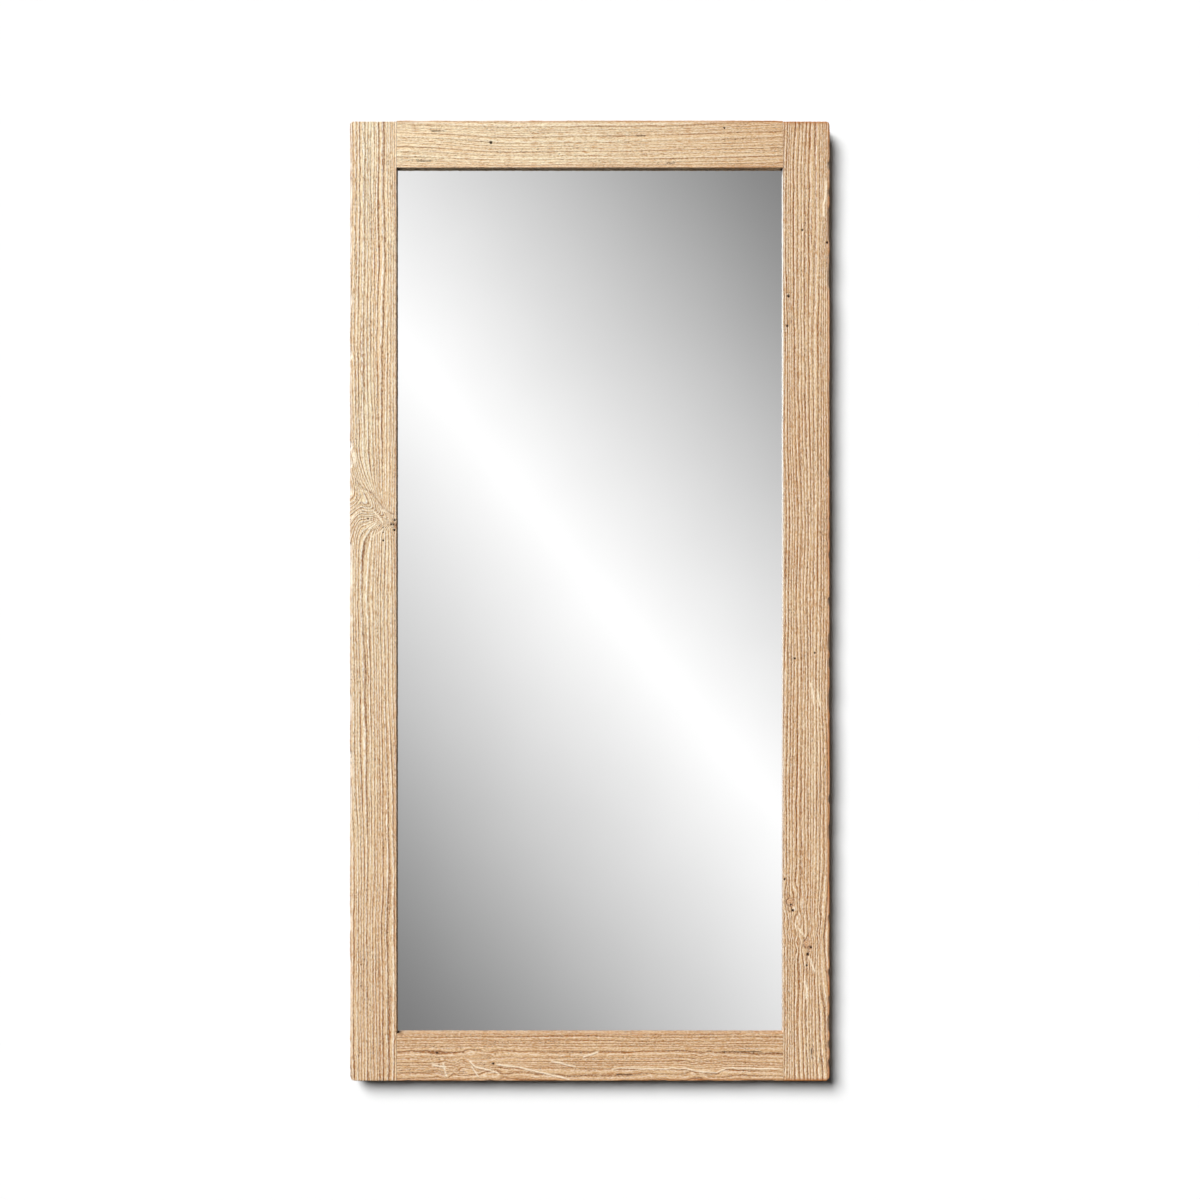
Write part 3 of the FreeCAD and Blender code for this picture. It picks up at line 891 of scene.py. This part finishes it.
def zinc_plate():
    """Zinc-plated steel: pale grey with a faint spangle and drawing marks."""
    spangle_size = 0.0026
    mark_grain = (0.0042, 0.0004)
    mark_height = 0.0001
    s = Shader("zinc_plate")
    at = s.place()
    spangle = s.cells(at, spangle_size, "Color")
    marks = s.noise(at, mark_grain)
    colour = s.mix(0.10, srgb(150, 153, 158), spangle, "OVERLAY")
    s.set(Base_Color=colour, Metallic=1.0, Roughness=s.range(marks, 0.3, 0.7, 0.24, 0.42))
    s.bump(marks, 0.12, mark_height)
    return s.material


def rubber(name, dark, pale, rough):
    """Rubber with a dusty bloom."""
    bloom_size = 0.0062
    fine_size = 0.0007
    fine_height = 0.0002
    s = Shader(name)
    at = s.place()
    fine = s.noise(at, fine_size)
    s.set(Base_Color=s.mix(s.range(s.noise(at, bloom_size, 5.0), 0.35, 0.75), dark, pale))
    s.set(Roughness=s.range(fine, 0.3, 0.7, rough, rough + 0.2))
    s.bump(fine, 0.2, fine_height)
    return s.material


def foam_tape():
    """White closed-cell foam."""
    cell_size = 0.0011
    cell_height = 0.0003
    s = Shader("foam_tape")
    cells = s.cells(s.place(), cell_size)
    s.set(Base_Color=s.mix(s.range(cells, 0.0, 0.6), srgb(214, 213, 208), srgb(238, 238, 234)))
    s.set(Roughness=0.85)
    s.bump(cells, 0.3, cell_height)
    return s.material


def beech():
    """Turned dowel wood with short flecks along it."""
    fleck_grain = (0.017, 0.0011)
    fleck_height = 0.0003
    s = Shader("beech")
    flecks = s.noise(s.place(), fleck_grain, 4.0)
    s.set(Base_Color=s.mix(flecks, srgb(206, 166, 122), srgb(226, 190, 148)))
    s.set(Roughness=s.range(flecks, 0.3, 0.7, 0.5, 0.7))
    s.bump(flecks, 0.3, fleck_height)
    return s.material


def clothe(names, *materials):
    """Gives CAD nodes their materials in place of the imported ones."""
    for name in names:
        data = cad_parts[name].data
        data.materials.clear()
        for material in materials:
            data.materials.append(material)


def dress_nodes():
    nodes = sorted(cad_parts)
    clothe(["mirror_glass"], silvered_front(), glass_edge(), back_paint())
    flat_share = 0.9
    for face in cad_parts["mirror_glass"].data.polygons:
        facing = face.normal.y
        face.material_index = 0 if facing < -flat_share else 2 if facing > flat_share else 1
    clothe(["backing_board"], hardboard())
    clothe(["bonding_tape"], foam_tape())
    clothe(["setting_blocks", "edge_spacers"],
           rubber("packing_rubber", srgb(34, 34, 35), srgb(58, 57, 56), 0.6))
    clothe([node for node in nodes if node.endswith("_bumper")],
           rubber("bumper_rubber", srgb(44, 44, 45), srgb(74, 73, 71), 0.5))
    clothe([node for node in nodes if node.endswith("_dowels")], beech())
    clothe([node for node in nodes if "hanger" in node or node == "backing_screws"], zinc_plate())


def dress_boards():
    wood = softwood()
    for board in (left_stile(), right_stile(), top_rail(), bottom_rail()):
        piece = bpy.data.objects.new(board.node + "_wood", board_mesh(board))
        bpy.context.scene.collection.objects.link(piece)
        piece.data.materials.append(wood)
        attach(piece, ROOT)
        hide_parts(board.node)


# Stage

def plane(name, corners, material):
    mesh = bpy.data.meshes.new(name)
    mesh.from_pydata(corners, [], [range(len(corners))])
    made = bpy.data.objects.new(name, mesh)
    bpy.context.scene.collection.objects.link(made)
    mesh.materials.append(material)
    return made


def sun(name, towards, strength, size):
    lamp = bpy.data.lights.new(name, "SUN")
    lamp.energy, lamp.angle = strength, size
    made = bpy.data.objects.new(name, lamp)
    made.rotation_mode = "QUATERNION"
    made.rotation_quaternion = Vector(towards).to_track_quat("-Z", "Y")
    bpy.context.scene.collection.objects.link(made)
    return made


def wall_material():
    """White paint on the side that faces the mirror; nothing from behind, so that the back can be seen."""
    s = Shader("wall_paint")
    paint = s.add("ShaderNodeBsdfDiffuse", {"Color": (wall_shade, wall_shade, wall_shade, 1.0)}).outputs[0]
    clear = s.add("ShaderNodeBsdfTransparent").outputs[0]
    behind = s.add("ShaderNodeNewGeometry").outputs["Backfacing"]
    return s.surface_is(s.add("ShaderNodeMixShader", {0: behind, 1: paint, 2: clear}).outputs[0])


def directly_seen(s):
    """1 for what the camera sees, straight or by way of shiny surfaces, and 0 for other light."""
    light = s.add("ShaderNodeLightPath").outputs
    seen = s.sum("MAXIMUM", light["Is Camera Ray"], light["Is Glossy Ray"])
    seen = s.sum("MAXIMUM", seen, light["Is Transmission Ray"])
    return s.times(seen, s.sum("LESS_THAN", light["Diffuse Depth"], 0.5))


def bands(s, height):
    """Light from bright diagonal lines that fade to both sides, for the card and the floor below it."""
    front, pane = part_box("left_stile")[0].y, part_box("mirror_glass")[0].y
    spread = (card_distance + pane) / (camera_distance + pane - front)
    reach = 1 + spread
    slope = math.hypot(band_run, band_rise)
    parts = s.add("ShaderNodeSeparateXYZ", {0: s.place()}).outputs
    right = s.sum("SUBTRACT", parts["X"], band_x * reach - camera_right * spread)
    up = s.sum("SUBTRACT", height(parts), band_z * reach - camera_up * spread)
    away = s.sum("ADD", s.times(right, band_rise / slope), s.times(up, band_run / slope))
    away = s.sum("PINGPONG", away, band_apart * reach)
    limits = {0: away, 1: band_dim * reach, 2: band_ease * reach}
    away = s.add("ShaderNodeMath", limits, operation="SMOOTH_MIN").outputs[0]
    strength = s.range(away, 0.0, band_fade * reach, card_strength, 0.0)
    aside = s.range(s.sum("ABSOLUTE", parts["X"], 0.0), *calm_across)
    below = s.range(s.times(height(parts), -1.0), *calm_down)
    strength = s.range(s.sum("MAXIMUM", aside, below), 0.0, 1.0, strength, calm_strength, kind="SMOOTHSTEP")
    return s.add("ShaderNodeEmission", {"Strength": s.times(strength, directly_seen(s))}).outputs[0]


def floor_material(floor_at):
    """Pale paint, brightened where it is seen; in the pane, the card's bands run on over it."""
    s = Shader("floor_paint")
    pale = (floor_shade, floor_shade, floor_shade, 1.0)
    paint = s.add("ShaderNodeBsdfDiffuse", {"Color": pale}).outputs[0]
    glow = s.add("ShaderNodeEmission", {"Color": (1.0, 1.0, 1.0, 1.0), "Strength": floor_glow}).outputs[0]
    lit = s.add("ShaderNodeAddShader", {0: paint, 1: glow}).outputs[0]
    seen = s.add("ShaderNodeMixShader", {0: directly_seen(s), 1: paint, 2: lit}).outputs[0]
    mirrored = bands(s, lambda parts: s.sum("SUBTRACT", floor_at - card_distance, parts["Y"]))
    glossy = s.add("ShaderNodeLightPath").outputs["Is Glossy Ray"]
    return s.surface_is(s.add("ShaderNodeMixShader", {0: glossy, 1: seen, 2: mirrored}).outputs[0])


def card_material():
    s = Shader("light_card")
    return s.surface_is(bands(s, lambda parts: parts["Z"]))


def build_stage():
    floor_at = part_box("bottom_rail")[0].z - floor_drop
    wall = plane("wall", [(-stage_reach, wall_gap, floor_at), (stage_reach, wall_gap, floor_at),
                          (stage_reach, wall_gap, stage_reach), (-stage_reach, wall_gap, stage_reach)],
                 wall_material())
    wall.visible_diffuse = wall.visible_glossy = wall.visible_transmission = wall.visible_shadow = False
    floor = plane("floor", [(-stage_reach, -stage_reach, floor_at), (stage_reach, -stage_reach, floor_at),
                            (stage_reach, stage_reach, floor_at), (-stage_reach, stage_reach, floor_at)],
                  floor_material(floor_at))
    floor.visible_diffuse = False
    card_at = -card_distance
    card = plane("light_card", [(-card_reach, card_at, floor_at), (card_reach, card_at, floor_at),
                                (card_reach, card_at, card_reach), (-card_reach, card_at, card_reach)],
                 card_material())
    card.visible_camera = card.visible_diffuse = card.visible_shadow = False
    sun("key", key_towards, key_strength, key_size)
    lit_by_it = bpy.data.collections.new("lit_by_wall_key")
    lit_by_it.objects.link(wall)
    wall_key = sun("wall_key", wall_towards, wall_strength, key_size)
    wall_key.light_linking.receiver_collection = lit_by_it
    sun("back_fill", back_towards, back_strength, back_size)


def build_world():
    world = bpy.data.worlds.new("studio")
    bpy.context.scene.world = world
    world.use_nodes = True
    s = Shader.of_tree(world.node_tree)
    s.put(s.nodes["Background"], "Strength", s.range(directly_seen(s), 0.0, 1.0, world_strength, 1.0))
    s.put(s.nodes["Background"], "Color", (1.0, 1.0, 1.0, 1.0))


def build_camera():
    lens = bpy.data.cameras.new("camera")
    lens.sensor_width = sensor_width
    lens.lens = sensor_width * camera_distance / view_width
    made = bpy.data.objects.new("camera", lens)
    made.location = (camera_right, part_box("left_stile")[0].y - camera_distance, camera_up)
    made.rotation_euler = (math.pi / 2, 0, 0)
    bpy.context.scene.collection.objects.link(made)
    bpy.context.scene.camera = made


def main():
    dress_nodes()
    dress_boards()
    build_stage()
    build_world()
    build_camera()
    bpy.context.scene.view_settings.view_transform = "Standard"


main()
